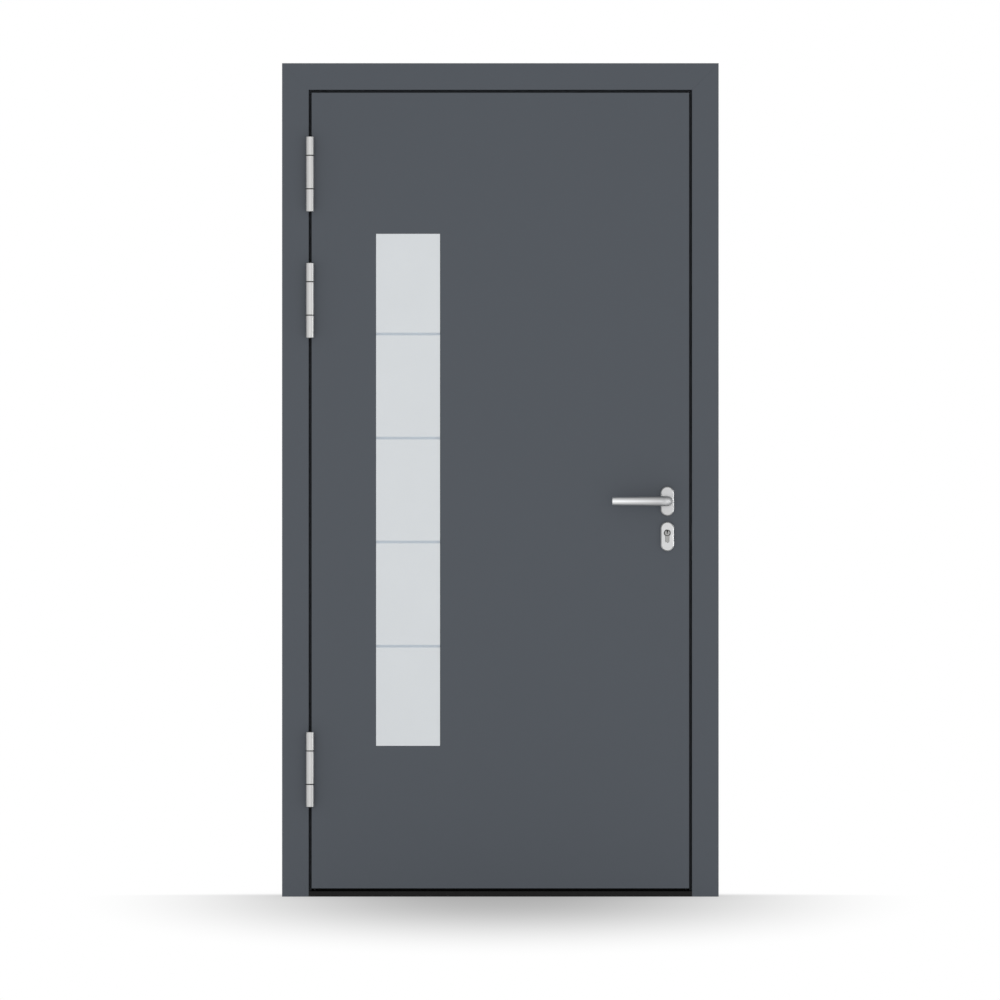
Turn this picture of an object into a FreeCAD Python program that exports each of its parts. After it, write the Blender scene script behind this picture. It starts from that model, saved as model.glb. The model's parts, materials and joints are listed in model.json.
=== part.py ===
"""Aluminium front door: a thermally broken frame, a flush leaf with a narrow glass strip, three roller
hinges and a lever set.

Axes: X to the right with the hinges at -X, the outside face at -Y, Z up.
The origin is under the threshold, in the middle of its width and depth.
All sizes are in millimetres and are kept in the sheet.
"""
import FreeCAD, Part
import math
import os
import re
import Sketcher

SIZES = {
    # frame
    "frame_width": 1100,
    "frame_height": 2100,
    "frame_depth": 65,
    "face_width": 67,
    "wall": 2,
    "front_chamber": 14.5,
    "groove_width": 24,
    "groove_depth": 3.3,
    "strip": 3,
    "stop_width": 16,
    "stop_depth": 17.5,
    # gap between frame and leaf, and its seal
    "gap": 7.5,
    "seal_edge": 2,
    "seal_width": 8,
    "seal_play": 0.5,
    # threshold
    "tread": 13.5,
    # leaf
    "skin": 3,
    "leaf_profile": 74,
    "lip": 4,
    "inner_strip_inset": 38,
    # glazing
    "glass_width": 161,
    "glass_inset": 162.4,
    "glass_base": 359,
    "glass_top_inset": 355.5,
    "pane": 8,
    "glass_recess": 0.5,
    "joint_width": 1,
    "joint_depth": 5,
    "lining": 6,
    "spacer": 8,
    # hinges
    "barrel": 10.3,
    "hinge_offset": 16,
    "hinge_top_inset": 205.5,
    "hinge_pitch": 318,
    "hinge_bottom_inset": 300,
    "upper_knuckle": 46,
    "middle_knuckle": 82,
    "lower_knuckle": 55.5,
    "bush": 2.5,
    "bush_inset": 0.8,
    "pin": 5,
    "pin_play": 0.05,
    "axial_play": 0.3,
    "leg": 3,
    "leg_play": 0.3,
    "barrel_bevel": 0.8,
    # lock
    "backset": 55,
    "handle_height": 975.5,
    "key_drop": 80,
    "forend_above": 70,
    "forend_below": 150,
    "plate": 3,
    "plate_play": 0.2,
    "latch_rise": 22,
    "latch_tall": 34,
    "deadbolt_tall": 38,
    "bolt_thick": 12,
    "bolt_long": 30,
    "bolt_play": 0.3,
    # lock cylinder
    "key_barrel": 8.5,
    "key_body": 5,
    "key_body_drop": 19.5,
    "key_reach": 0.5,
    "keyhole_wide": 1.4,
    "keyhole_tall": 3.6,
    "keyhole_depth": 4,
    "keyhole_rise": 2.6,
    # rosettes and escutcheons
    "plate_radius": 16.5,
    "plate_tall": 74,
    "plate_thick": 9,
    "plate_bevel": 2.4,
    "escutcheon_lift": -9,
    # levers
    "neck": 9.5,
    "neck_play": 0.3,
    "lever_reach": 50,
    "lever_length": 139.5,
    "neck_show": 1,
    "elbow": 12.4,
    "bend": 17,
    "lever_tip": 10.2,
    "tip_bevel": 1.2,
    "spindle": 8,
    "spindle_depth": 25,
    "spindle_play": 0.1,
    # fixing holes through the jambs
    "fixing_end": 150,
    "fixing_radius": 5.5,
}
FIXINGS = 4

# Where the lines and arcs of a sketch lie before their constraints place them.
RING, NEAR, FAR, ROUND = 99, 9, 30, 3
UP = FreeCAD.Vector(0, 0, 1)
# How far out of its plane a face may lie, and the least volume that counts as a cut.
FLATNESS = 0.01
LEAST_CUT = 0.001

PLACES = {
    "half_width": "frame_width / 2",
    "half_depth": "frame_depth / 2",
    "front_back": "front_chamber - half_depth",
    "groove_back": "front_back + groove_width",
    "stop_face": "half_depth - stop_depth",
    "jamb_width": "face_width + stop_width",
    "rebate": "half_width - face_width",
    "stop_edge": "rebate - stop_width",
    "head_rebate": "frame_height - face_width",
    "leaf_half": "rebate - gap",
    "leaf_low": "tread + gap",
    "leaf_high": "head_rebate - gap",
    "leaf_step": "stop_width",
    "upstand": "leaf_low + leaf_step - gap",
    "seal_low": "upstand - seal_width",
    "seal_inner": "stop_edge + seal_edge",
    "seal_outer": "seal_inner + seal_width",
    "seal_top": "head_rebate - stop_width + seal_edge",
    "lip_back": "groove_back + lip",
    "seal_front": "lip_back + seal_play",
    "core_half": "half_depth - skin",
    "glass_left": "glass_inset - leaf_half",
    "glass_right": "glass_left + glass_width",
    "glass_low": "leaf_low + glass_base",
    "glass_high": "leaf_high - glass_top_inset",
    "glass_front": "glass_recess - half_depth",
    "hinge_x": "-(rebate + leaf_half) / 2",
    "hinge_y": "-half_depth - hinge_offset",
    "hinge_top_z": "leaf_high - hinge_top_inset",
    "hinge_middle_z": "hinge_top_z - hinge_pitch",
    "hinge_bottom_z": "leaf_low + hinge_bottom_inset",
    "hinge_tall": "upper_knuckle + middle_knuckle + lower_knuckle + 2 * bush",
    "knuckle_top": "hinge_tall / 2",
    "upper_low": "knuckle_top - upper_knuckle",
    "middle_high": "upper_low - bush",
    "middle_low": "middle_high - middle_knuckle",
    "lower_high": "middle_low - bush",
    "lock_x": "leaf_half - backset",
    "handle_z": "leaf_low + handle_height",
    "key_z": "handle_z - key_drop",
    "forend_high": "handle_z + forend_above",
    "forend_low": "handle_z - forend_below",
    "latch_z": "handle_z + latch_rise",
    "groove_mid": "(front_back + groove_back) / 2",
    "grip_y": "half_depth + lever_reach",
    "bend_y": "grip_y - bend",
    "escutcheon_z": "key_z + escutcheon_lift",
    "fixing_pitch": f"(frame_height - 2 * fixing_end) / {FIXINGS - 1}",
}

doc = FreeCAD.newDocument("Front_door")
sheets = {}
pieces = []


def full(text):
    """Name the sheet in front of each size that an expression uses."""
    return re.sub(r"[a-z_]+", lambda m: f"{sheets[m[0]]}.{m[0]}" if m[0] in sheets else m[0], text)


def fill(name, values):
    sheet = doc.addObject("Spreadsheet::Sheet", name)
    for row, (alias, value) in enumerate(values.items(), 1):
        sheet.set(f"A{row}", alias)
        sheet.set(f"B{row}", f"={full(value)}" if isinstance(value, str) else str(value))
        sheet.setAlias(f"B{row}", alias)
        sheets[alias] = name
    doc.recompute()
    return sheet


sizes = fill("Sizes", SIZES)
places = fill("Places", PLACES)


def piece(label):
    body = doc.addObject("PartDesign::Body", label)
    pieces.append(body)
    return body


PLANES = {"X": ("YZ_Plane", 1), "Y": ("XZ_Plane", -1), "Z": ("XY_Plane", 1)}


def sketch_on(body, axis, low, high):
    """A sketch across the axis at the end from which the extrusion runs, with its length."""
    role, sense = PLANES[axis]
    sketch = body.newObject("Sketcher::SketchObject", "Outline")
    plane = next(item for item in body.Origin.OriginFeatures if item.Role == role)
    sketch.AttachmentSupport = (plane, [""])
    sketch.MapMode = "FlatFace"
    start = low if sense > 0 else f"-({high})"
    sketch.setExpression("AttachmentOffset.Base.z", full(start))
    return sketch


def pin_point(sketch, geometry, point, place, guess):
    for kind, text, value in zip(("DistanceX", "DistanceY"), place, guess):
        index = sketch.addConstraint(Sketcher.Constraint(kind, -1, 1, geometry, point, value))
        sketch.setExpression(f"Constraints[{index}]", full(text))


def polygon(sketch, points):
    """A closed outline whose corners are each tied to an expression."""
    first = sketch.GeometryCount
    count = len(points)
    turn = 2 * math.pi / count
    corners = [FreeCAD.Vector(RING * math.cos(k * turn), RING * math.sin(k * turn), 0) for k in range(count)]
    for k in range(count):
        sketch.addGeometry(Part.LineSegment(corners[k], corners[(k + 1) % count]), False)
    for k in range(count):
        sketch.addConstraint(Sketcher.Constraint("Coincident", first + k, 2, first + (k + 1) % count, 1))
    for k, place in enumerate(points):
        pin_point(sketch, first + k, 1, place, (corners[k].x, corners[k].y))


def rectangle(sketch, left, low, right, high):
    polygon(sketch, [(left, low), (right, low), (right, high), (left, high)])


def circle(sketch, place, radius):
    index = sketch.addGeometry(Part.Circle(FreeCAD.Vector(NEAR, NEAR, 0), UP, ROUND), False)
    pin_point(sketch, index, 3, place, (NEAR, NEAR))
    constraint = sketch.addConstraint(Sketcher.Constraint("Radius", index, 3))
    sketch.setExpression(f"Constraints[{constraint}]", full(radius))


def stadium(sketch, x, low, high, radius):
    """An upright slot shape: low and high are the centres of its round ends."""
    arcs = []
    for height, start in ((FAR, 0), (NEAR, math.pi)):
        whole = Part.Circle(FreeCAD.Vector(NEAR, height, 0), UP, ROUND)
        arcs.append(sketch.addGeometry(Part.ArcOfCircle(whole, start, start + math.pi), False))
    lines = []
    for across, start, end in ((NEAR - ROUND, FAR, NEAR), (NEAR + ROUND, NEAR, FAR)):
        line = Part.LineSegment(FreeCAD.Vector(across, start, 0), FreeCAD.Vector(across, end, 0))
        lines.append(sketch.addGeometry(line, False))
    top, bottom = arcs
    left, right = lines
    for arc, place, guess in ((top, (x, high), (NEAR, FAR)), (bottom, (x, low), (NEAR, NEAR))):
        pin_point(sketch, arc, 3, place, guess)
        constraint = sketch.addConstraint(Sketcher.Constraint("Radius", arc, 3))
        sketch.setExpression(f"Constraints[{constraint}]", full(radius))
        sketch.addConstraint(Sketcher.Constraint("Horizontal", arc, 1, arc, 3))
        sketch.addConstraint(Sketcher.Constraint("Horizontal", arc, 2, arc, 3))
    for first, second in ((top, left), (left, bottom), (bottom, right), (right, top)):
        sketch.addConstraint(Sketcher.Constraint("Coincident", first, 2, second, 1))


def extrude(kind, body, axis, low, high, draw):
    sketch = sketch_on(body, axis, low, high)
    draw(sketch)
    feature = body.newObject(f"PartDesign::{kind}", kind)
    feature.Profile = sketch
    feature.setExpression("Length", full(f"({high}) - ({low})"))
    if kind == "Pocket":
        feature.Reversed = True
    return feature


def pad(body, axis, low, high, draw):
    return extrude("Pad", body, axis, low, high, draw)


def pocket(body, axis, low, high, draw):
    """Cut from low to high along the axis; a cut that takes nothing away is an error."""
    doc.recompute()
    before = body.Shape.Volume
    feature = extrude("Pocket", body, axis, low, high, draw)
    doc.recompute()
    if body.Shape.Volume > before - LEAST_CUT:
        raise RuntimeError(f"{body.Label}: a pocket cuts nothing")
    return feature


def faces_at(feature, axis, value):
    """Names of the flat faces that lie across an axis at a place."""
    return [
        f"Face{number}" for number, face in enumerate(feature.Shape.Faces, 1)
        if abs(getattr(face.BoundBox, f"{axis}Min") - value) < FLATNESS
        and abs(getattr(face.BoundBox, f"{axis}Max") - value) < FLATNESS]


def bevel(body, base, faces, size):
    feature = body.newObject("PartDesign::Chamfer", "Chamfer")
    feature.Base = (base, faces)
    feature.setExpression("Size", full(size))
    return feature


# Members of the frame and of the leaf: one section, drawn from the outer edge inwards, mitred at the corners.
FRAME = {"half": "half_width", "low": "0", "high": "frame_height"}
LEAF = {"half": "leaf_half", "low": "leaf_low", "high": "leaf_high"}
SIGN = {"hinge": "-", "lock": "", "low": "-", "high": ""}


def across(ring, side, inset):
    """Place that lies an inset in from one side of a ring of members."""
    return {
        "hinge": f"-{ring['half']} + {inset}",
        "lock": f"{ring['half']} - ({inset})",
        "low": f"{ring['low']} + {inset}",
        "high": f"{ring['high']} - ({inset})",
    }[side]


def member(label, ring, side, loops, width):
    body = piece(label)
    upright = side in ("hinge", "lock")

    def draw(sketch):
        for loop in loops:
            points = [(across(ring, side, inset), depth) for inset, depth in loop]
            polygon(sketch, points if upright else [(depth, height) for height, depth in points])

    if upright:
        pad(body, "Z", ring["low"], ring["high"], draw)
    else:
        pad(body, "X", f"-{ring['half']}", ring["half"], draw)
    ends = ("low", "high") if upright else ("hinge", "lock")
    for end in ends:
        if ring is FRAME and end == "low":
            continue
        column, row = (side, end) if upright else (end, side)
        corner = (across(ring, column, "0"), across(ring, row, "0"))
        inner = (across(ring, column, width), across(ring, row, width))
        third = (inner[0], corner[1]) if upright else (corner[0], inner[1])
        pocket(body, "Y", "-half_depth", "half_depth", lambda sketch: polygon(sketch, [corner, third, inner]))
    return body


def box_loop(left, front, right, back):
    return [(left, front), (right, front), (right, back), (left, back)]


FRAME_SHELLS = [
    box_loop("0", "-half_depth", "face_width", "front_back"),
    box_loop("wall", "wall - half_depth", "face_width - groove_depth - wall", "front_back - wall"),
    [("0", "groove_back"), ("face_width", "groove_back"), ("face_width", "stop_face"),
     ("jamb_width", "stop_face"), ("jamb_width", "half_depth"), ("0", "half_depth")],
    [("wall", "groove_back + wall"), ("face_width - wall", "groove_back + wall"),
     ("face_width - wall", "stop_face + wall"), ("jamb_width - wall", "stop_face + wall"),
     ("jamb_width - wall", "half_depth - wall"), ("wall", "half_depth - wall")],
]
FRAME_STRIPS = [
    box_loop("0", "front_back", "strip", "groove_back"),
    box_loop("face_width - groove_depth - strip", "front_back", "face_width - groove_depth", "groove_back"),
]
LEAF_SHELLS = [
    box_loop("0", "-core_half", "leaf_profile", "front_back"),
    box_loop("groove_depth + wall", "wall - core_half", "leaf_profile - wall", "front_back - wall"),
    [("0", "groove_back"), ("leaf_profile", "groove_back"), ("leaf_profile", "core_half"),
     ("leaf_step", "core_half"), ("leaf_step", "lip_back"), ("0", "lip_back")],
    box_loop("leaf_step + wall", "groove_back + wall", "leaf_profile - wall", "core_half - wall"),
]
LEAF_STRIPS = [
    box_loop("groove_depth", "front_back", "groove_depth + strip", "groove_back"),
    box_loop("inner_strip_inset", "front_back", "inner_strip_inset + strip", "groove_back"),
]

jamb_hinge = member("jamb_hinge", FRAME, "hinge", FRAME_SHELLS, "jamb_width")
jamb_lock = member("jamb_lock", FRAME, "lock", FRAME_SHELLS, "jamb_width")
head = member("head", FRAME, "high", FRAME_SHELLS, "jamb_width")
jamb_hinge_break = member("jamb_hinge_break", FRAME, "hinge", FRAME_STRIPS, "jamb_width")
jamb_lock_break = member("jamb_lock_break", FRAME, "lock", FRAME_STRIPS, "jamb_width")
head_break = member("head_break", FRAME, "high", FRAME_STRIPS, "jamb_width")

leaf_stile_hinge = member("leaf_stile_hinge", LEAF, "hinge", LEAF_SHELLS, "leaf_profile")
leaf_stile_lock = member("leaf_stile_lock", LEAF, "lock", LEAF_SHELLS, "leaf_profile")
leaf_rail_top = member("leaf_rail_top", LEAF, "high", LEAF_SHELLS, "leaf_profile")
leaf_rail_bottom = member("leaf_rail_bottom", LEAF, "low", LEAF_SHELLS, "leaf_profile")
stile_hinge_break = member("stile_hinge_break", LEAF, "hinge", LEAF_STRIPS, "leaf_profile")
stile_lock_break = member("stile_lock_break", LEAF, "lock", LEAF_STRIPS, "leaf_profile")
rail_top_break = member("rail_top_break", LEAF, "high", LEAF_STRIPS, "leaf_profile")
rail_bottom_break = member("rail_bottom_break", LEAF, "low", LEAF_STRIPS, "leaf_profile")

# Threshold: a hollow tread between the jambs with an upstand behind the leaf, let in round the stops.
threshold = piece("threshold")
pad(threshold, "X", "-rebate", "rebate", lambda sketch: (
    polygon(sketch, [
        ("-half_depth", "0"), ("half_depth", "0"), ("half_depth", "upstand"),
        ("stop_face", "upstand"), ("stop_face", "tread"), ("-half_depth", "tread")]),
    polygon(sketch, [
        ("wall - half_depth", "wall"), ("half_depth - wall", "wall"), ("half_depth - wall", "upstand - wall"),
        ("stop_face + wall", "upstand - wall"), ("stop_face + wall", "tread - wall"),
        ("wall - half_depth", "tread - wall")])))
for low, high in (("-rebate", "-stop_edge"), ("stop_edge", "rebate")):
    pocket(threshold, "X", low, high,
           lambda sketch: rectangle(sketch, "stop_face", "0", "half_depth", "upstand"))

# Seals: straight strips on the stops, on which the lip of the leaf closes.
for label, left, low, right, high in (
        ("seal_hinge", "-seal_outer", "tread", "-seal_inner", "seal_top"),
        ("seal_lock", "seal_inner", "tread", "seal_outer", "seal_top"),
        ("seal_head", "-seal_outer", "seal_top", "seal_outer", "seal_top + seal_width"),
        ("seal_threshold", "-seal_inner", "seal_low", "seal_inner", "upstand")):
    pad(piece(label), "Y", "seal_front", "stop_face",
        lambda sketch: rectangle(sketch, left, low, right, high))

# Skins: the flush outer sheet covers the whole leaf, the inner one ends at the step.
glass_hole = ("glass_left - joint_width", "glass_low - joint_width",
              "glass_right + joint_width", "glass_high + joint_width")
skins = {}
for label, inset, front, back in (
        ("leaf_skin_front", "0", "-half_depth", "-core_half"),
        ("leaf_skin_back", "leaf_step", "core_half", "half_depth")):
    skins[label] = skin = piece(label)
    edge = (f"{inset} - leaf_half", f"leaf_low + {inset}", f"leaf_half - {inset}", f"leaf_high - {inset}")
    pad(skin, "Y", front, back, lambda sketch: (rectangle(sketch, *edge), rectangle(sketch, *glass_hole)))

# Glazing: a lining between the skins, three panes with spacers, and a thin joint round each outer pane.
glazing_lining = piece("glazing_lining")
pad(glazing_lining, "Y", "-core_half", "core_half", lambda sketch: (
    rectangle(sketch, "glass_left - joint_width - lining", "glass_low - joint_width - lining",
              "glass_right + joint_width + lining", "glass_high + joint_width + lining"),
    rectangle(sketch, *glass_hole)))
glass_edge = ("glass_left", "glass_low", "glass_right", "glass_high")
for label, front, back in (
        ("glass_outer", "glass_front", "glass_front + pane"),
        ("glass_middle", "-pane / 2", "pane / 2"),
        ("glass_inner", "-glass_front - pane", "-glass_front")):
    pad(piece(label), "Y", front, back, lambda sketch: rectangle(sketch, *glass_edge))
spacer_hole = ("glass_left + spacer", "glass_low + spacer", "glass_right - spacer", "glass_high - spacer")
for label, front, back in (
        ("spacer_outer", "glass_front + pane", "-pane / 2"),
        ("spacer_inner", "pane / 2", "-glass_front - pane")):
    pad(piece(label), "Y", front, back,
        lambda sketch: (rectangle(sketch, *glass_edge), rectangle(sketch, *spacer_hole)))
for label, front, back in (
        ("glass_joint_front", "glass_front", "glass_front + joint_depth"),
        ("glass_joint_back", "-glass_front - joint_depth", "-glass_front")):
    pad(piece(label), "Y", front, back, lambda sketch: (
        rectangle(sketch, *glass_hole), rectangle(sketch, *glass_edge)))

# Hinges: two knuckles on the jamb, one on the leaf, each with a leg let into the edge, turning on a pin.
leg_back = "groove_back - leg_play"
jamb_leg = ("-rebate - groove_depth", "-rebate - groove_depth + leg")
leaf_leg = ("-leaf_half + groove_depth - leg", "-leaf_half + groove_depth")


def knuckle(body, low, high, leg, outer):
    barrel = pad(body, "Z", low, high, lambda sketch: circle(sketch, ("hinge_x", "hinge_y"), "barrel"))
    doc.recompute()
    if outer is not None:
        height = getattr(places, outer) if hasattr(places, outer) else -places.knuckle_top
        bevel(body, barrel, faces_at(barrel, "Z", height), "barrel_bevel")
    pad(body, "Z", low, high, lambda sketch: rectangle(sketch, leg[0], "hinge_y", leg[1], leg_back))
    pocket(body, "Z", low, high, lambda sketch: circle(sketch, ("hinge_x", "hinge_y"), "pin + pin_play"))


hinges = {"top": "hinge_top_z", "middle": "hinge_middle_z", "bottom": "hinge_bottom_z"}
for name, height in hinges.items():
    fixed = piece(f"hinge_{name}_jamb")
    knuckle(fixed, "upper_low", "knuckle_top", jamb_leg, "knuckle_top")
    knuckle(fixed, "-knuckle_top", "lower_high", jamb_leg, "low")
    moving = piece(f"hinge_{name}_leaf")
    knuckle(moving, "middle_low + axial_play", "middle_high - axial_play", leaf_leg, None)
    for body in (fixed, moving):
        body.setExpression("Placement.Base.z", full(height))
hinge_pins = piece("hinge_pins")
hinge_bushes = piece("hinge_bushes")
for height in hinges.values():
    pad(hinge_pins, "Z", f"{height} - knuckle_top", f"{height} + knuckle_top",
        lambda sketch: circle(sketch, ("hinge_x", "hinge_y"), "pin"))
    for low in ("middle_high", "lower_high"):
        pad(hinge_bushes, "Z", f"{height} + {low}", f"{height} + {low} + bush", lambda sketch: (
            circle(sketch, ("hinge_x", "hinge_y"), "barrel - bush_inset"),
            circle(sketch, ("hinge_x", "hinge_y"), "pin + pin_play")))
    for low, high in (("upper_low", "knuckle_top"), ("-knuckle_top", "lower_high")):
        pocket(jamb_hinge, "Z", f"{height} + {low}", f"{height} + {high}",
               lambda sketch: rectangle(sketch, jamb_leg[0], "-half_depth", "-rebate", "front_back"))
    for body, front, back in (
            (leaf_stile_hinge, "-core_half", "front_back"),
            (skins["leaf_skin_front"], "-half_depth", "-core_half")):
        pocket(body, "Z", f"{height} + middle_low", f"{height} + middle_high",
               lambda sketch: rectangle(sketch, "-leaf_half", front, leaf_leg[1], back))

# Lock: forend with latch and deadbolt drawn back flush, and the plate that they shoot into.
bolt_front = "groove_mid - bolt_thick / 2"
bolt_back = "groove_mid + bolt_thick / 2"
bolts = {"latch_bolt": ("latch_z", "latch_tall"), "deadbolt": ("key_z", "deadbolt_tall")}


def plate_with_holes(label, left, right):
    body = piece(label)
    pad(body, "X", left, right, lambda sketch: rectangle(
        sketch, "front_back + plate_play", "forend_low", "groove_back - plate_play", "forend_high"))
    for centre, tall in bolts.values():
        pocket(body, "X", left, right, lambda sketch: rectangle(
            sketch, f"{bolt_front} - bolt_play", f"{centre} - {tall} / 2 - bolt_play",
            f"{bolt_back} + bolt_play", f"{centre} + {tall} / 2 + bolt_play"))
    return body


lock_forend = plate_with_holes("lock_forend", "leaf_half - groove_depth", "leaf_half - groove_depth + plate")
strike_plate = plate_with_holes("strike_plate", "rebate + groove_depth - plate", "rebate + groove_depth")
for label, (centre, tall) in bolts.items():
    pad(piece(label), "X", "leaf_half - groove_depth + plate - bolt_long", "leaf_half - groove_depth + plate",
        lambda sketch: rectangle(
            sketch, bolt_front, f"{centre} - {tall} / 2", bolt_back, f"{centre} + {tall} / 2"))
    for body, low, high in (
            (stile_lock_break, "leaf_half - groove_depth - strip", "leaf_half - groove_depth"),
            (jamb_lock_break, "rebate + groove_depth", "rebate + groove_depth + strip")):
        pocket(body, "X", low, high, lambda sketch: rectangle(
            sketch, f"{bolt_front} - bolt_play", f"{centre} - {tall} / 2 - bolt_play",
            f"{bolt_back} + bolt_play", f"{centre} + {tall} / 2 + bolt_play"))

# Lock cylinder: a round barrel over a narrow body, through the whole leaf, with a keyhole at both ends.
key_end = "half_depth + plate_thick + key_reach"
lock_cylinder = piece("lock_cylinder")
pad(lock_cylinder, "Y", f"-({key_end})", key_end,
    lambda sketch: circle(sketch, ("lock_x", "key_z"), "key_barrel"))
pad(lock_cylinder, "Y", f"-({key_end})", key_end,
    lambda sketch: stadium(sketch, "lock_x", "key_z - key_body_drop", "key_z - key_body", "key_body"))
for low, high in (
        (f"-({key_end})", f"keyhole_depth - ({key_end})"),
        (f"{key_end} - keyhole_depth", key_end)):
    pocket(lock_cylinder, "Y", low, high, lambda sketch: rectangle(
        sketch, "lock_x - keyhole_wide", "key_z + keyhole_rise - keyhole_tall",
        "lock_x + keyhole_wide", "key_z + keyhole_rise + keyhole_tall"))

# Rosettes and escutcheons: bevelled plates with round ends on both faces of the leaf.
half_straight = "(plate_tall / 2 - plate_radius)"
neck_hole = "neck + neck_play"


def cylinder_hole(body, front, back):
    pocket(body, "Y", front, back,
           lambda sketch: circle(sketch, ("lock_x", "key_z"), "key_barrel + bolt_play"))
    pocket(body, "Y", front, back, lambda sketch: stadium(
        sketch, "lock_x", "key_z - key_body_drop", "key_z - key_body", "key_body + bolt_play"))


def neck_cut(body, front, back):
    pocket(body, "Y", front, back, lambda sketch: circle(sketch, ("lock_x", "handle_z"), neck_hole))


for face, front, back, outer in (
        ("front", "-half_depth - plate_thick", "-half_depth", -1),
        ("back", "half_depth", "half_depth + plate_thick", 1)):
    for name, centre, cut in (
            ("rosette", "handle_z", neck_cut),
            ("escutcheon", "escutcheon_z", cylinder_hole)):
        body = piece(f"{name}_{face}")
        base = pad(body, "Y", front, back, lambda sketch: stadium(
            sketch, "lock_x", f"{centre} - {half_straight}", f"{centre} + {half_straight}", "plate_radius"))
        doc.recompute()
        outer_face = faces_at(base, "Y", outer * (places.half_depth + sizes.plate_thick))
        bevel(body, base, outer_face, "plate_bevel")
        cut(body, front, back)

for body, front, back in (
        (skins["leaf_skin_front"], "-half_depth", "-core_half"),
        (skins["leaf_skin_back"], "core_half", "half_depth"),
        (leaf_stile_lock, "-core_half", "core_half")):
    neck_cut(body, front, back)
    cylinder_hole(body, front, back)

# Levers: a bent round bar, thicker at the elbow, on a neck in the rosette, both on one square spindle.


def turn(body, role, offset, draw, axis, angle, facing=1):
    """Revolve an outline about one of its own axes; offset places its origin, facing -1 turns it round."""
    sketch = body.newObject("Sketcher::SketchObject", "Outline")
    plane = next(item for item in body.Origin.OriginFeatures if item.Role == role)
    sketch.AttachmentSupport = (plane, [""])
    sketch.MapMode = "FlatFace"
    if facing < 0:
        half_turn = FreeCAD.Rotation(FreeCAD.Vector(0, 1, 0), 180)
        sketch.AttachmentOffset = FreeCAD.Placement(FreeCAD.Vector(), half_turn)
    for name, text in zip("xyz", offset):
        sketch.setExpression(f"AttachmentOffset.Base.{name}", full(text))
    draw(sketch)
    feature = body.newObject("PartDesign::Revolution", "Revolution")
    feature.Profile = sketch
    feature.ReferenceAxis = (sketch, [axis])
    feature.Angle = abs(angle)
    feature.Reversed = angle < 0
    return feature


GRIP = [
    ("-lever_length", "0"), ("-bend", "0"), ("-bend", "elbow"),
    ("tip_bevel - lever_length", "lever_tip"), ("-lever_length", "lever_tip - tip_bevel")]
collar = "half_depth + plate_thick + neck_show"
for face, side, quarter in (("front", "-", -90), ("back", "", 90)):
    lever = piece(f"lever_{face}")
    for radius, near, far in (("neck", "half_depth", collar), ("elbow", collar, "bend_y")):
        low, high = (f"-({far})", f"-({near})") if side else (near, far)
        pad(lever, "Y", low, high, lambda sketch: circle(sketch, ("lock_x", "handle_z"), radius))
    turn(lever, "XZ_Plane", ("lock_x - bend", "handle_z", "bend_y" if side else "-bend_y"),
         lambda sketch: circle(sketch, ("-bend", "0"), "elbow"), "V_Axis", quarter, -1)
    turn(lever, "XY_Plane", ("lock_x", f"{side}grip_y", "handle_z"),
         lambda sketch: polygon(sketch, GRIP), "H_Axis", 360)
    low, high = "half_depth", "half_depth + spindle_depth"
    if side:
        low, high = f"-({high})", f"-{low}"
    pocket(lever, "Y", low, high, lambda sketch: rectangle(
        sketch, "lock_x - spindle / 2 - spindle_play", "handle_z - spindle / 2 - spindle_play",
        "lock_x + spindle / 2 + spindle_play", "handle_z + spindle / 2 + spindle_play"))
spindle = piece("spindle")
pad(spindle, "Y", "-half_depth - spindle_depth", "half_depth + spindle_depth",
    lambda sketch: rectangle(
        sketch, "lock_x - spindle / 2", "handle_z - spindle / 2",
        "lock_x + spindle / 2", "handle_z + spindle / 2"))

# Fixing holes: a row through the middle of each jamb, for the frame bolts.
for body, low, high in (
        (jamb_hinge_break, "-half_width", "-rebate"),
        (jamb_lock_break, "rebate", "half_width")):
    for number in range(FIXINGS):
        pocket(body, "X", low, high, lambda sketch: circle(
            sketch, ("groove_mid", f"fixing_end + {number} * fixing_pitch"), "fixing_radius"))

doc.recompute()
failed = [item.Label for item in doc.Objects if {"Invalid", "Error"} & set(item.State)]
failed += [body.Label for body in pieces if body.Shape.isNull() or not body.Shape.isValid()]
if failed:
    raise RuntimeError(f"not built: {failed}")
os.makedirs("parts", exist_ok=True)
for body in pieces:
    body.Shape.exportStep(f"parts/{body.Label}.step")
    box = body.Shape.BoundBox
    print(f"{body.Label}: {len(body.Shape.Solids)} solids, {body.Shape.Volume / 1000:.1f} cm3,"
          f" x {box.XMin:.1f} to {box.XMax:.1f}, y {box.YMin:.1f} to {box.YMax:.1f},"
          f" z {box.ZMin:.1f} to {box.ZMax:.1f}")
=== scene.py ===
"""Looks of the aluminium front door: finishes, small fasteners, seal lips and lock details.

Metres, X to the right, the outside face at -Y, Z up.
"""

import json
import math

import bpy
import bmesh
from mathutils import Matrix, Vector


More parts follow.
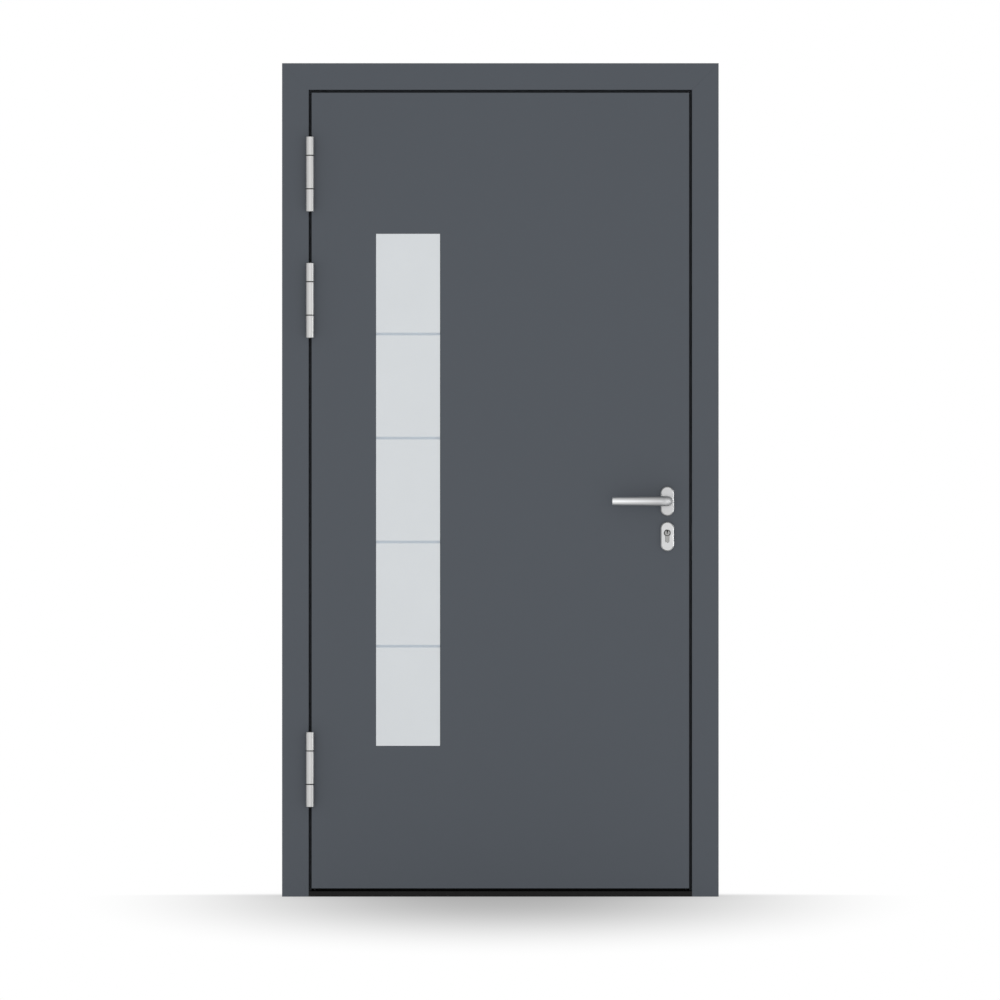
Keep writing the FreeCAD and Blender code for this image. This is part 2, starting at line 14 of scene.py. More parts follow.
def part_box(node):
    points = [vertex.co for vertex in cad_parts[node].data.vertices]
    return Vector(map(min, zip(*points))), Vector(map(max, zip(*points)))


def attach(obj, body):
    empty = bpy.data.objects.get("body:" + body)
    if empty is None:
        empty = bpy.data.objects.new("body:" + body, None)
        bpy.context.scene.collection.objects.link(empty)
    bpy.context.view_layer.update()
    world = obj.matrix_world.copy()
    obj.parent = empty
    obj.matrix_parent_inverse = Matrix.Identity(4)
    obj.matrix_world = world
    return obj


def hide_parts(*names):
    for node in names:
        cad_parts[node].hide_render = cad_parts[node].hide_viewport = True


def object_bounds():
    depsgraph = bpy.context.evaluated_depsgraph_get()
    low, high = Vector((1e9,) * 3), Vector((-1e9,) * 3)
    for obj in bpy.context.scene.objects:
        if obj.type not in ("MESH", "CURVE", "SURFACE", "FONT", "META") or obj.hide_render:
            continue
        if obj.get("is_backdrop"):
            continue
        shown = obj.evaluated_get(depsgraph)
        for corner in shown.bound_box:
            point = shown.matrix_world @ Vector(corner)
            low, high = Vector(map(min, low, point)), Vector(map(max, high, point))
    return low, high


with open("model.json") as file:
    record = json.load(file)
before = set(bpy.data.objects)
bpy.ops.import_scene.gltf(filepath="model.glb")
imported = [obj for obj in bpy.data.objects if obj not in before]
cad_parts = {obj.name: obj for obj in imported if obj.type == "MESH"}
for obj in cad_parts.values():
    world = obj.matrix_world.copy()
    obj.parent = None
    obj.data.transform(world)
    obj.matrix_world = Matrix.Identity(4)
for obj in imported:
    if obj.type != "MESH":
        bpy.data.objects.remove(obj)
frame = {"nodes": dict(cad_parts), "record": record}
cad_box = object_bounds()
nodes = frame["nodes"]
MM = 0.001

# nodes and finishes


class Nodes:
    """Short calls for the nodes of one material or world."""

    def __init__(self, tree):
        self.tree = tree

    def new(self, kind):
        return self.tree.nodes.new("ShaderNode" + kind)

    def link(self, source, target):
        self.tree.links.new(source, target)

    def axes(self, source):
        """The outputs X, Y and Z of a place or direction."""
        node = self.new("SeparateXYZ")
        self.link(source, node.inputs[0])
        return node.outputs

    def math(self, kind, first, second=0.0, clamp=False):
        node = self.new("Math")
        node.operation = kind
        node.use_clamp = clamp
        for socket, value in zip(node.inputs, (first, second)):
            if isinstance(value, (int, float)):
                socket.default_value = value
            else:
                self.link(value, socket)
        return node.outputs[0]

    def spread(self, source, low, high, start=0.25, stop=0.75, kind="LINEAR"):
        """Map start to stop onto low to high, and hold the ends beyond them."""
        node = self.new("MapRange")
        node.interpolation_type = kind
        for key, value in (("From Min", start), ("From Max", stop), ("To Min", low), ("To Max", high)):
            node.inputs[key].default_value = value
        self.link(source, node.inputs["Value"])
        return node.outputs[0]


class Finish(Nodes):
    """A Principled material whose patterns are laid out in the object's own metres."""

    def __init__(self, name, color, rough, metal=0.0, **values):
        self.material = bpy.data.materials.new(name)
        self.material.use_nodes = True
        super().__init__(self.material.node_tree)
        self.shader = self.tree.nodes["Principled BSDF"]
        self.color = color
        self.rough = rough
        self.place = self.new("TexCoord").outputs["Object"]
        self.shader.inputs["Base Color"].default_value = (*color, 1)
        self.shader.inputs["Roughness"].default_value = rough
        self.shader.inputs["Metallic"].default_value = metal
        for key, value in values.items():
            self.shader.inputs[key.replace("_", " ")].default_value = value

    def noise(self, size, stretch=(1, 1, 1), detail=2, shift=0):
        """Noise with features of about this size, in metres, drawn out along an axis by a stretch above 1."""
        mapping = self.new("Mapping")
        mapping.inputs["Scale"].default_value = [1 / (size * share) for share in stretch]
        mapping.inputs["Location"].default_value = (shift, shift * 0.7, shift * 1.3)
        self.link(self.place, mapping.inputs["Vector"])
        node = self.new("TexNoise")
        for key, value in (("Scale", 1), ("Detail", detail), ("Roughness", 0.55)):
            node.inputs[key].default_value = value
        self.link(mapping.outputs[0], node.inputs["Vector"])
        return node.outputs[0]

    def lines(self, size, along, stretch):
        """Fine lines that run along one axis."""
        return self.noise(size, [stretch if axis == along else 1 for axis in "XYZ"])

    def blend(self, factor, first, second):
        node = self.new("Mix")
        node.data_type = "RGBA"
        self.link(factor, node.inputs["Factor"])
        for socket, value in ((node.inputs[6], first), (node.inputs[7], second)):
            if isinstance(value, (tuple, list)):
                socket.default_value = (*value, 1)
            else:
                self.link(value, socket)
        return node.outputs[2]

    def mottle(self, pattern, amount):
        """The finish's colour, lighter and darker by this share where the pattern says."""
        first, second = ([part * share for part in self.color] for share in (1 - amount, 1 + amount))
        return self.blend(self.spread(pattern, 0, 1), first, second)

    def paint(self, color):
        self.link(color, self.shader.inputs["Base Color"])

    def matt(self, pattern, amount, rise=None):
        """Let a pattern raise and lower the roughness; a rise comes on top of it."""
        rough = self.spread(pattern, self.rough - amount, self.rough + amount)
        if rise:
            rough = self.math("ADD", rough, rise)
        self.link(rough, self.shader.inputs["Roughness"])

    def bump(self, pattern, depth, strength):
        node = self.new("Bump")
        node.inputs["Strength"].default_value = strength
        node.inputs["Distance"].default_value = depth
        self.link(pattern, node.inputs["Height"])
        self.link(node.outputs[0], self.shader.inputs["Normal"])


def powder_coat(name, color):
    """Fine-textured powder coat on aluminium."""
    coat = Finish(name, color, 0.46, Specular_IOR_Level=0.35)
    grain = coat.noise(0.9 * MM, detail=3)
    coat.paint(coat.mottle(coat.noise(90 * MM, detail=3, shift=3), 0.006))
    coat.matt(grain, 0.03)
    coat.bump(grain, 0.012 * MM, 0.4)
    return coat.material


def brushed(metal, lines, rise=None):
    """Roughness and fine relief that all brushed metals share."""
    metal.matt(metal.noise(12 * MM, shift=5), 0.015, rise)
    metal.bump(lines, 0.003 * MM, 0.3)
    return metal.material


def satin_metal(name, color, rough, along, shade=0.03):
    """Brushed metal; the brushing runs along one axis."""
    metal = Finish(name, color, rough, 1.0)
    lines = metal.lines(0.12 * MM, along, 60)
    metal.paint(metal.mottle(lines, shade))
    return brushed(metal, lines)


# Where along X the levers bend, where their colour lightens towards the tip as a painted highlight, and how
# the finish differs there.
BEND_START, BEND_STOP = 0.410, 0.420
BEND_ROUGHER = 0.2
HIGHLIGHT_START, HIGHLIGHT_STOP = 0.430, 0.285
HIGHLIGHT_COLOR = (0.90, 0.91, 0.92)


def lever_metal(name, color, rough, shade):
    """Brushed metal whose colour carries a painted highlight that lightens towards the tip, with a rougher
    bend.
    """
    metal = Finish(name, color, rough, 1.0)
    lines = metal.lines(0.12 * MM, "X", 60)
    along = metal.axes(metal.place)["X"]
    # Painted highlight: the base colour lightens from the bend towards the tip of the lever.
    tip_highlight = metal.spread(along, 0, 1, HIGHLIGHT_START, HIGHLIGHT_STOP)
    tone = metal.new("HueSaturation")
    metal.link(metal.blend(tip_highlight, color, HIGHLIGHT_COLOR), tone.inputs["Color"])
    metal.link(metal.spread(lines, 1 - shade, 1 + shade), tone.inputs["Value"])
    metal.paint(tone.outputs[0])
    return brushed(metal, lines, metal.spread(along, 0, BEND_ROUGHER, BEND_START, BEND_STOP))


def black_profile(name, color, rough, along):
    """Drawn black profile: fine lines along its length."""
    stuff = Finish(name, color, rough, Specular_IOR_Level=0.16)
    lines = stuff.lines(0.5 * MM, along, 80)
    stuff.paint(stuff.mottle(lines, 0.15))
    stuff.matt(stuff.noise(8 * MM, shift=2), 0.06)
    stuff.bump(lines, 0.02 * MM, 0.4)
    return stuff.material


def rubber(name, color):
    stuff = Finish(name, color, 0.7, Specular_IOR_Level=0.2)
    grain = stuff.noise(0.6 * MM, detail=3)
    stuff.paint(stuff.mottle(stuff.noise(25 * MM, shift=4), 0.12))
    stuff.matt(grain, 0.06)
    stuff.bump(grain, 0.04 * MM, 0.4)
    return stuff.material


def plastic(name, color, rough=0.5, level=0.3):
    stuff = Finish(name, color, rough, Specular_IOR_Level=level)
    stuff.paint(stuff.mottle(stuff.noise(30 * MM, shift=6), 0.05))
    stuff.matt(stuff.noise(2 * MM, detail=3), 0.05)
    stuff.bump(stuff.noise(0.5 * MM, shift=1), 0.015 * MM, 0.4)
    return stuff.material


# Heights of the clear bands in the pane, half their width, and half the width of their soft edge.
BANDS = (1.4176, 1.1554, 0.8936, 0.6310)
BAND_HALF = 3.4 * MM
BAND_EDGE = 0.2 * MM
ETCHED, BARE = (0.715, 0.745, 0.767), (0.60, 0.665, 0.735)


def satin_glass(name):
    """Etched pane with four clear bands; the bands are bare glass between the etched fields."""
    pane = Finish(name, ETCHED, 0.5, IOR=1.5, Specular_IOR_Level=0.3)
    height = pane.axes(pane.place)["Z"]
    bands = []
    for centre in BANDS:
        away = pane.math("ABSOLUTE", pane.math("SUBTRACT", height, centre))
        bands.append(pane.spread(away, 1, 0, BAND_HALF - BAND_EDGE, BAND_HALF + BAND_EDGE))
    band = bands[0]
    for other in bands[1:]:
        band = pane.math("MAXIMUM", band, other)
    pane.paint(pane.blend(band, pane.mottle(pane.noise(120 * MM), 0.008), BARE))
    for socket, etched, bare in (("Roughness", 0.5, 0.3), ("Transmission Weight", 0.06, 0.3)):
        pane.link(pane.spread(band, etched, bare, 0, 1), pane.shader.inputs[socket])
    pane.bump(pane.noise(0.4 * MM, shift=2), 0.01 * MM, 0.3)
    return pane.material


def clear_glass(name):
    pane = Finish(name, (0.90, 0.96, 0.95), 0.02, Transmission_Weight=1.0, IOR=1.45)
    pane.paint(pane.mottle(pane.noise(200 * MM, detail=1), 0.01))
    pane.bump(pane.noise(60 * MM, detail=1, shift=3), 0.02 * MM, 0.2)
    return pane.material


PAINT = (0.0648, 0.0756, 0.0912)
BLACK = (0.0065, 0.0065, 0.0065)
materials = {
    "frame_paint": powder_coat("frame_paint_coat", PAINT),
    "leaf_paint": powder_coat("leaf_paint_coat", PAINT),
    "thermal_break": plastic("break_polyamide", (0.012, 0.012, 0.012), 0.6, 0.2),
    "threshold_black": black_profile("threshold_anodised", BLACK, 0.55, "X"),
    "seal_rubber": rubber("seal_epdm", (0.009, 0.009, 0.009)),
    "glazing_sealant": plastic("sealant_grey", (0.060, 0.068, 0.078), 0.6),
    "satin_glass": satin_glass("satin_glass"),
    "clear_glass": clear_glass("clear_float"),
    "spacer_grey": plastic("spacer_warm_edge", (0.18, 0.19, 0.20)),
    "lining_plastic": plastic("lining_rigid", (0.05, 0.055, 0.06)),
    "bush_black": plastic("bush_acetal", BLACK, 0.45, 0.2),
    "hinge_steel": satin_metal("hinge_satin", (0.60, 0.60, 0.595), 0.42, "Z"),
    "lock_steel": satin_metal("lock_satin", (0.56, 0.565, 0.57), 0.32, "Z"),
    "cylinder_nickel": satin_metal("cylinder_satin_nickel", (0.285, 0.285, 0.28), 0.34, "Z", 0.05),
    "lever_steel": lever_metal("lever_brushed", (0.50, 0.505, 0.51), 0.41, 0.015),
    "plate": satin_metal("rosette_brushed", (0.445, 0.448, 0.451), 0.32, "Z", 0.015),
    "key_plate": satin_metal("escutcheon_brushed", (0.487, 0.490, 0.493), 0.32, "Z", 0.015),
    # Near black for the lock cylinder's groove and keyway: painted shade in those recesses.
    "key_painted_shade": plastic("keyway_painted_shade_black", (0.006, 0.006, 0.006), 0.7, 0.05),
    "screw": satin_metal("screw_zinc", (0.50, 0.50, 0.49), 0.35, "Z", 0.04),
    "screw_black": plastic("screw_blackened", (0.018, 0.018, 0.018), 0.45),
}
slot_of = {row["node"]: row["material_slot"] for row in frame["record"]["subparts"]}
own_finish = {"rosette_front": "plate", "rosette_back": "plate",
              "escutcheon_front": "key_plate", "escutcheon_back": "key_plate"}
for name, node in nodes.items():
    node.data.materials.clear()
    node.data.materials.append(materials[own_finish.get(name, slot_of[name])])

# mesh helpers


def add(name, data):
    """A new object in the scene."""
    thing = bpy.data.objects.new(name, data)
    bpy.context.scene.collection.objects.link(thing)
    return thing


def piece(name, mesh, body, slot, finish, smooth=30, second=None):
    """Put a bmesh on a body, rounded where faces meet below smooth degrees. Index 1 is the second finish."""
    data = bpy.data.meshes.new(name)
    bmesh.ops.recalc_face_normals(mesh, faces=mesh.faces)
    mesh.to_mesh(data)
    mesh.free()
    for face in data.polygons:
        face.use_smooth = True
    data.set_sharp_from_angle(angle=math.radians(smooth))
    thing = add(name, data)
    data.materials.append(materials[finish])
    if second:
        data.materials.append(materials[second])
    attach(thing, body)
    return thing


def ring(mesh, points):
    return [mesh.verts.new(point) for point in points]


def bridge(mesh, first, second, index=0):
    """A band of faces between two rings."""
    count = len(first)
    for k in range(count):
        following = (k + 1) % count
        face = mesh.faces.new((first[k], first[following], second[following], second[k]))
        face.material_index = index


def fill(mesh, *loops):
    """Close a flat area between one outer loop and any inner loops."""
    edges = []
    for loop in loops:
        for k in range(len(loop)):
            pair = (loop[k], loop[(k + 1) % len(loop)])
            edges.append(mesh.edges.get(pair) or mesh.edges.new(pair))
    bmesh.ops.triangle_fill(mesh, use_beauty=True, use_dissolve=False, edges=edges)


def arc(radius, angles):
    return [(radius * math.cos(angle), radius * math.sin(angle)) for angle in angles]


def circle(radius, count):
    return arc(radius, [2 * math.pi * k / count for k in range(count)])


def cross(arm, width):
    """Outline of a cross recess, counter-clockwise."""
    corner = width / 2
    quarter = [(arm, -corner), (arm, corner), (corner, corner)]
    outline = []
    for k in range(4):
        cos, sin = math.cos(math.pi / 2 * k), math.sin(math.pi / 2 * k)
        outline += [(x * cos - y * sin, x * sin + y * cos) for x, y in quarter]
    return outline


def facing(centre, axis):
    """Moves a flat outline to this centre and turns its Z along this axis."""
    turn = Vector((0, 0, 1)).rotation_difference(Vector(axis)).to_matrix().to_4x4()
    return Matrix.Translation(centre) @ turn


def flat_ring(mesh, spot, outline, height):
    return ring(mesh, [spot @ Vector((x, y, height)) for x, y in outline])


def profile_bar(name, outline, start, stop, place, body, slot, finish, replaced):
    """An outline (u, v) drawn from start to stop; place maps (u, v, length) to space."""
    mesh = bmesh.new()
    first, last = (ring(mesh, [place(u, v, along) for u, v in outline]) for along in (start, stop))
    bridge(mesh, first, last)
    mesh.faces.new(first)
    mesh.faces.new(last)
    thing = piece(name, mesh, body, slot, finish, smooth=40)
    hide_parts(replaced)


# seals: a foot on the stop and a curved lip

LIP = [(0, 0), (1, 0), (1, 0.26), (0.86, 0.34), (0.94, 0.66), (0.84, 0.93), (0.62, 1), (0.36, 0.9),
       (0.2, 0.62), (0.14, 0.3), (0, 0.24)]


def seal_run(side):
    """Both ends of a seal, and the map from (u, v, along) to space: u across the stop, v towards the leaf."""
    low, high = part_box(f"seal_{side}")
    upright = side in ("hinge", "lock")
    ends = (low.z, high.z) if upright else (low.x, high.x)
    near, far = (low.x, high.x) if upright else (low.z, high.z)
    if side in ("lock", "head"):
        near, far = far, near

    def place(u, v, along):
        across = near + (far - near) * u
        depth = high.y - (high.y - low.y) * v
        return Vector((across, depth, along)) if upright else Vector((along, depth, across))

    return ends, place


for side in ("hinge", "lock", "head", "threshold"):
    ends, place = seal_run(side)
    profile_bar(f"seal_lip_{side}", LIP, *ends, place, "frame", "seal_rubber", "seal_rubber", f"seal_{side}")

# lock cylinder: profile, turned plug, keyway

# Radii of the profile's head and foot, and of the groove and the plug in the head.
KEY_HEAD, KEY_FOOT = 8.5 * MM, 5 * MM
GROOVE, PLUG = 7.8 * MM, 6.5 * MM
KEY_PLAY, KEY_CHAMFER, PLUG_EDGE = 0.3 * MM, 0.15 * MM, 0.3 * MM
GROOVE_TAPER, GROOVE_DEPTH, KEYWAY_DEPTH = 0.2 * MM, 1.2 * MM, 4 * MM
ARC_STEPS, FOOT_STEPS, PLUG_STEPS = 36, 12, 40
# Outline of the keyway, in millimetres, and how far its middle lies above the plug's.
KEYWAY_RISE = 2.0
KEYWAY = [(-1.5, -3.2), (-0.3, -3.8), (1.2, -3.2), (1.2, -1.7), (0.6, -1.1), (0.6, 0.1), (2.0, 0.9),
          (2.2, 3.2), (1.3, 4.3), (-1.1, 4.3), (-2.0, 3.3), (-2.0, 1.6), (-0.9, 1.0), (-0.9, -0.6),
          (-1.5, -1.2)]
keyway = [(x * MM, (y + KEYWAY_RISE) * MM) for x, y in KEYWAY]
low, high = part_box("lock_cylinder")
key_x = (low.x + high.x) / 2
key_z = high.z - KEY_HEAD
key_end = high.y
foot_z = low.z + KEY_FOOT - key_z


def euro_outline(shrink):
    """Outline of the lock profile, round the head from one side of the waist to the other, then the foot."""
    head, foot = KEY_HEAD - shrink, KEY_FOOT - shrink
    waist = math.asin(foot / head)
    sweep = 2 * math.pi - 2 * waist
    points = arc(head, [waist - math.pi / 2 + sweep * k / ARC_STEPS for k in range(ARC_STEPS + 1)])
    half_turn = [math.pi + math.pi * k / FOOT_STEPS for k in range(FOOT_STEPS + 1)]
    return points + [(x, foot_z + z) for x, z in arc(foot, half_turn)]


def cylinder_end(mesh, side):
    """One end: chamfered face, groove, plug and keyway, with the groove and keyway walls painted near black
    as painted shade. Returns the outer ring.
    """

    def at(points, inset):
        y = side * (key_end - inset)
        return ring(mesh, [Vector((key_x - side * x, y, key_z + z)) for x, z in points])

    edge = at(euro_outline(KEY_PLAY), KEY_CHAMFER)
    face = at(euro_outline(KEY_PLAY + KEY_CHAMFER), 0)
    bridge(mesh, edge, face)
    groove_top = at(circle(GROOVE, PLUG_STEPS), 0)
    groove_low = at(circle(GROOVE - GROOVE_TAPER, PLUG_STEPS), GROOVE_DEPTH)
    plug_low = at(circle(PLUG, PLUG_STEPS), GROOVE_DEPTH)
    plug_edge = at(circle(PLUG, PLUG_STEPS), PLUG_EDGE)
    plug_top = at(circle(PLUG - PLUG_EDGE, PLUG_STEPS), 0)
    fill(mesh, face, groove_top)
    # The groove's walls and floor and the plug's side take the near-black second finish, a painted shade.
    painted_shade_rings = (groove_top, groove_low, plug_low, plug_edge)
    for first, second in zip(painted_shade_rings, painted_shade_rings[1:]):
        bridge(mesh, first, second, 1)
    bridge(mesh, plug_edge, plug_top)
    key_top, key_low = at(keyway, 0), at(keyway, KEYWAY_DEPTH)
    fill(mesh, plug_top, key_top)
    # The keyway's walls and floor take the near-black second finish too: painted shade.
    bridge(mesh, key_top, key_low, 1)
    mesh.faces.new(key_low).material_index = 1
    return edge


def opposite(vertex, loop):
    """The vertex of the other end's ring that lies straight across."""
    return min(loop, key=lambda other: (other.co.xz - vertex.co.xz).length)


mesh = bmesh.new()
outer, inner = cylinder_end(mesh, -1), cylinder_end(mesh, 1)
bridge(mesh, outer, [opposite(vertex, inner) for vertex in outer])
# The second finish is the painted shade in the groove and keyway.
cylinder = piece("lock_cylinder_detail", mesh, "leaf", "cylinder_nickel", "cylinder_nickel",
                 second="key_painted_shade")
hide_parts("lock_cylinder")

# screws

HEAD_STEPS, SOCKET_STEPS, HEXAGON = 40, 30, 6
# Shares of a head's radius: its flat top, the arms and width of the cross, and the cross at its floor.
HEAD_TOP, CROSS_ARM, CROSS_WIDTH, CROSS_FLOOR = 0.94, 0.55, 0.22, 0.8
# Share of a head's height at which its edge starts to turn in.
HEAD_RIM = 0.6
# Heights of a set screw's foot, rim, top and socket floor, its edge, and its socket as a share of its radius.
SET_FOOT, SET_RIM, SET_TOP, SET_FLOOR = -0.8 * MM, 0.1 * MM, 0.2 * MM, -0.6 * MM
SET_EDGE, SET_SOCKET = 0.15 * MM, 0.58
# Radii and places: from the ends of the plates, on the threshold, and under the necks of the levers.
PLATE_SCREW, PLATE_SCREW_END = 4 * MM, 9 * MM
SILL_SCREW, SILL_SCREW_Y, SILL_TOP = 4.5 * MM, -10 * MM, 13.5 * MM
SILL_SCREW_X = (-0.38, 0.0, 0.38)
SET_SCREW, SET_SCREW_OUT, NECK = 2.4 * MM, 9 * MM, 12.4 * MM


def screw_head(mesh, centre, axis, radius, proud, recess):
    """A flat head with a cross recess whose underside lies in the carrier."""
    spot = facing(centre, axis)
    stations = ((radius, -proud), (radius, proud * HEAD_RIM), (radius * HEAD_TOP, proud))
    loops = [flat_ring(mesh, spot, circle(wide, HEAD_STEPS), height) for wide, height in stations]
    for low, high in zip(loops, loops[1:]):
        bridge(mesh, low, high)
    mesh.faces.new(loops[0])
    mouth = cross(radius * CROSS_ARM, radius * CROSS_WIDTH)
    narrow = [(x * CROSS_FLOOR, y * CROSS_FLOOR) for x, y in mouth]
    top = flat_ring(mesh, spot, mouth, proud)
    bottom = flat_ring(mesh, spot, narrow, proud - recess)
    fill(mesh, loops[-1], top)
    bridge(mesh, top, bottom)
    mesh.faces.new(bottom)


def screws(name, places, axis, radius, body, slot, finish, proud=0.45 * MM, recess=0.4 * MM):
    mesh = bmesh.new()
    for centre in places:
        screw_head(mesh, centre, axis, radius, proud, recess)
    piece(name, mesh, body, slot, finish)


def socket_screw(mesh, centre, axis, radius):
    """Set screw seen end on: a flat ring with a hexagon socket."""
    spot = facing(centre, axis)
    stations = ((radius, SET_FOOT), (radius, SET_RIM), (radius - SET_EDGE, SET_TOP))
    foot, rim, top = (flat_ring(mesh, spot, circle(wide, SOCKET_STEPS), height) for wide, height in stations)
    bridge(mesh, foot, rim)
    bridge(mesh, rim, top)
    mesh.faces.new(foot)
    hexagon = circle(radius * SET_SOCKET, HEXAGON)
    mouth, bottom = (flat_ring(mesh, spot, hexagon, height) for height in (SET_TOP, SET_FLOOR))
    fill(mesh, top, mouth)
    bridge(mesh, mouth, bottom)
    mesh.faces.new(bottom)


forend_low, forend_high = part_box("lock_forend")
strike_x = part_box("strike_plate")[0].x
plate_y = (forend_low.y + forend_high.y) / 2
heights = (forend_low.z + PLATE_SCREW_END, forend_high.z - PLATE_SCREW_END)
screws("forend_screws", [(forend_high.x, plate_y, z) for z in heights], (1, 0, 0), PLATE_SCREW,
       "leaf", "lock_steel", "screw", 0.25 * MM, 0.2 * MM)
screws("strike_screws", [(strike_x, plate_y, z) for z in heights], (-1, 0, 0), PLATE_SCREW,
       "frame", "lock_steel", "screw")
screws("threshold_screws", [(x, SILL_SCREW_Y, SILL_TOP) for x in SILL_SCREW_X], (0, 0, 1), SILL_SCREW,
       "frame", "threshold_black", "screw_black")

spindle_low, spindle_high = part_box("spindle")
neck_low = (spindle_low.z + spindle_high.z) / 2 - NECK
neck_out = abs(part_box("rosette_front")[0].y) + SET_SCREW_OUT
mesh = bmesh.new()
for side in (-1, 1):
    socket_screw(mesh, Vector((key_x, side * neck_out, neck_low)), (0, 0, -1), SET_SCREW)
piece("lever_set_screws", mesh, "lever_set", "lever_steel", "screw")

# soft edges on the CAD nodes

WELD = 0.01 * MM
HARD_EDGE = math.radians(35)
PROFILE_EDGE, PLATE_EDGE = 0.4 * MM, 0.25 * MM


def soften(name, width):
    """Round the hard edges of a CAD node a little, as extruded and pressed edges are."""
    weld = nodes[name].modifiers.new("weld", "WELD")
    weld.merge_threshold = WELD
    bevel = nodes[name].modifiers.new("bevel", "BEVEL")
    bevel.width = width
    bevel.segments = 2
    bevel.limit_method = "ANGLE"
    bevel.angle_limit = HARD_EDGE
    bevel.use_clamp_overlap = True


for name in ("jamb_hinge", "jamb_lock", "head", "leaf_skin_front", "leaf_skin_back",
             "leaf_stile_hinge", "leaf_stile_lock", "leaf_rail_top", "leaf_rail_bottom", "threshold"):
    soften(name, PROFILE_EDGE)
for name in ("lock_forend", "strike_plate"):
    soften(name, PLATE_EDGE)

# floor

# It gives the door soft light from below. Seen by the camera, in metal or through glass it is white, with an
# oval shade that is darkest under the door, reaches about the door's width to each side and further in
# front, ends close behind it, and is a little deeper right at the foot.
FLOOR_REACH = 150
FLOOR_COLOR, FLOOR_LIFT = (0.85, 0.85, 0.85, 1), 0.55
SHADE_FRONT, SHADE_BEHIND = 0.4, 6.0
SHADE_START, SHADE_STOP, SHADE_LEVEL = 0.05, 1.09, 0.45
FOOT_REACH, FOOT_START, FOOT_LEVEL, FOOT_SAMPLES = 0.3, 0.5, 0.93, 8
floor_material = bpy.data.materials.new("floor_pale")
floor_material.use_nodes = True
ground = Nodes(floor_material.node_tree)
ground.tree.nodes.clear()

plain = ground.new("BsdfDiffuse")
plain.inputs["Color"].default_value = FLOOR_COLOR
lift = ground.new("Emission")
lift.inputs["Strength"].default_value = FLOOR_LIFT
bounce = ground.new("AddShader")
ground.link(plain.outputs[0], bounce.inputs[0])
ground.link(lift.outputs[0], bounce.inputs[1])

spot = ground.axes(ground.new("TexCoord").outputs["Object"])
shade_front = ground.math("MULTIPLY", spot["Y"], -SHADE_FRONT)
shade_behind = ground.math("MULTIPLY", spot["Y"], SHADE_BEHIND)
oval = ground.new("CombineXYZ")
ground.link(spot["X"], oval.inputs["X"])
ground.link(ground.math("MAXIMUM", shade_front, shade_behind), oval.inputs["Y"])
away = ground.new("VectorMath")
away.operation = "LENGTH"
ground.link(oval.outputs[0], away.inputs[0])
shade = ground.spread(away.outputs["Value"], SHADE_LEVEL, 1, SHADE_START, SHADE_STOP, "SMOOTHSTEP")
open_sky = ground.new("AmbientOcclusion")
open_sky.samples = FOOT_SAMPLES
open_sky.inputs["Distance"].default_value = FOOT_REACH
foot = ground.spread(open_sky.outputs["AO"], FOOT_LEVEL, 1, FOOT_START, 1)
glow = ground.new("Emission")
ground.link(ground.math("MULTIPLY", shade, foot), glow.inputs["Strength"])

rays = ground.new("LightPath").outputs
seen = ground.math("MAXIMUM", rays["Is Camera Ray"], rays["Is Glossy Ray"])
mix = ground.new("MixShader")
ground.link(ground.math("MAXIMUM", seen, rays["Is Transmission Ray"]), mix.inputs[0])
ground.link(bounce.outputs[0], mix.inputs[1])
ground.link(glow.outputs[0], mix.inputs[2])
ground.link(mix.outputs[0], ground.new("OutputMaterial").inputs["Surface"])

floor_mesh = bpy.data.meshes.new("floor")
corners = [(x * FLOOR_REACH, y * FLOOR_REACH, 0) for x, y in ((-1, -1), (1, -1), (1, 1), (-1, 1))]
floor_mesh.from_pydata(corners, [], [(0, 1, 2, 3)])
floor_mesh.materials.append(floor_material)
floor = add("floor", floor_mesh)
floor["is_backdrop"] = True

# world: a white room that is brightest in front of the door and behind it, softer at the sides and overhead

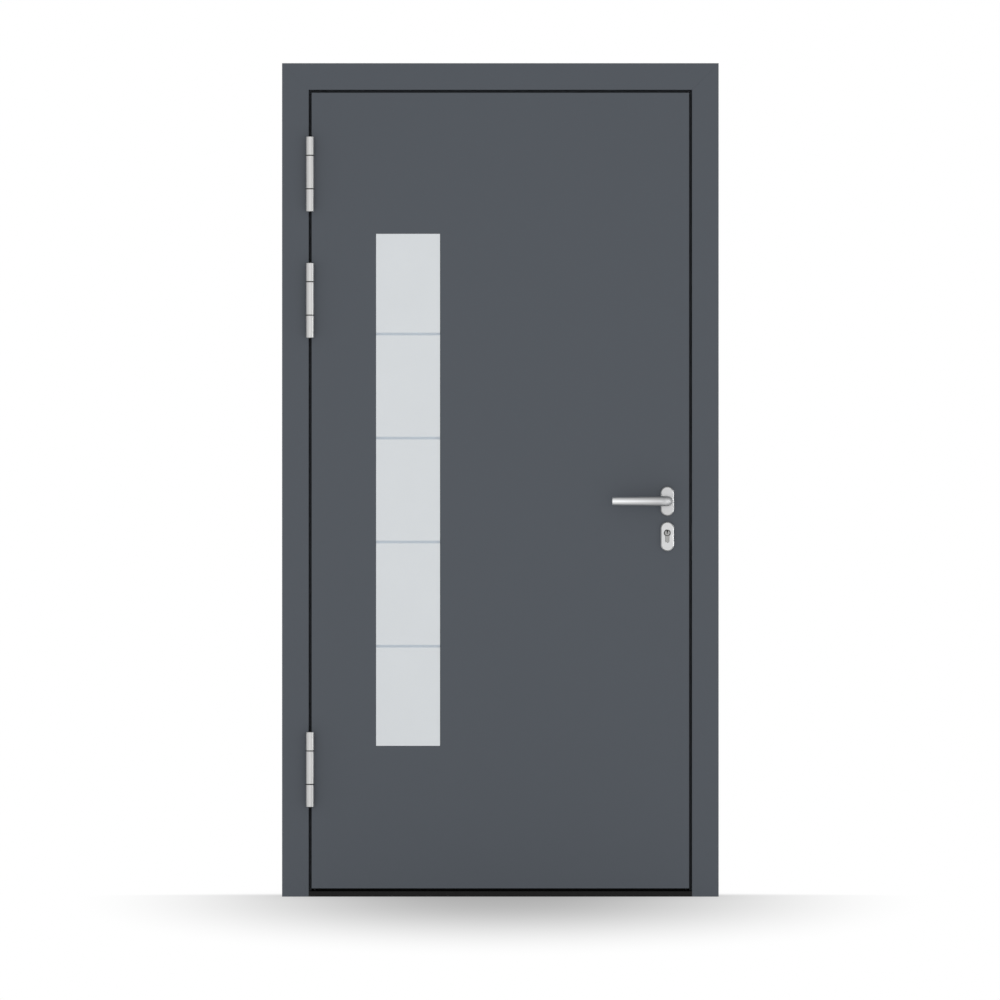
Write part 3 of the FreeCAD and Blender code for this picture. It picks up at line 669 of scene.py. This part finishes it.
ROOM, ROOM_FRONT, ROOM_FOCUS, ROOM_OVERHEAD = 0.68, 0.40, 1.3, 0.38
WHITE_START, WHITE_RISE = 0.45, 3.0
world = bpy.data.worlds.new("studio")
bpy.context.scene.world = world
world.use_nodes = True
sky = Nodes(world.node_tree)
background = sky.tree.nodes["Background"]
background.inputs["Color"].default_value = (1, 1, 1, 1)
direction = sky.axes(sky.new("TexCoord").outputs["Generated"])
ahead = sky.math("MULTIPLY", direction["Y"], -1, clamp=True)
front = sky.math("MULTIPLY", sky.math("POWER", ahead, ROOM_FOCUS), ROOM_FRONT)
steep = sky.math("MULTIPLY", sky.math("ABSOLUTE", direction["Z"]), ROOM_OVERHEAD)
room = sky.math("MULTIPLY", sky.math("ADD", front, ROOM), sky.math("SUBTRACT", 1.0, steep))
white = sky.math("MULTIPLY", sky.math("SUBTRACT", direction["Y"], WHITE_START), WHITE_RISE, clamp=True)
sky.link(sky.math("MAXIMUM", room, white), background.inputs["Strength"])

# lamps and camera


def area(name, place, target, size, power):
    """A rectangular lamp that looks at a target."""
    lamp = bpy.data.lights.new(name, "AREA")
    lamp.shape = "RECTANGLE"
    lamp.size, lamp.size_y = size
    lamp.energy = power
    thing = add(name, lamp)
    thing.location = place
    thing.rotation_euler = (Vector(target) - Vector(place)).to_track_quat("-Z", "Y").to_euler()
    return thing


# A strip beside the door that only shows in gloss, along the bevels of the plates.
strip = area("reflector_right", (2.3, -0.40, 0.98), (0.42, -0.04, 0.98), (0.45, 1.4), 11)
strip.visible_diffuse = False
area("softbox_front", (0.0, -7.0, 1.0), (0.0, 0.0, 1.0), (7.0, 1.2), 26)

# The camera stands far away, level and square to the door. The view has its middle and width at the
# outside face.
VIEW_X, VIEW_Y, VIEW_Z = -0.0009, -0.0325, 0.9994
VIEW_WIDTH = 2.5195
DISTANCE = 20.0
SENSOR = 36
FARTHEST = 250
camera = bpy.data.cameras.new("camera")
camera.sensor_width = SENSOR
camera.lens = SENSOR * DISTANCE / VIEW_WIDTH
camera.clip_end = FARTHEST
eye = add("camera", camera)
eye.location = (VIEW_X, VIEW_Y - DISTANCE, VIEW_Z)
eye.rotation_euler = (math.pi / 2, 0, 0)
bpy.context.scene.camera = eye

bpy.context.scene.view_settings.view_transform = "Standard"
boxes = {"cad": cad_box, "visual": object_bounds()}
{key: [list(map(float, corner)) for corner in value] for key, value in boxes.items()}
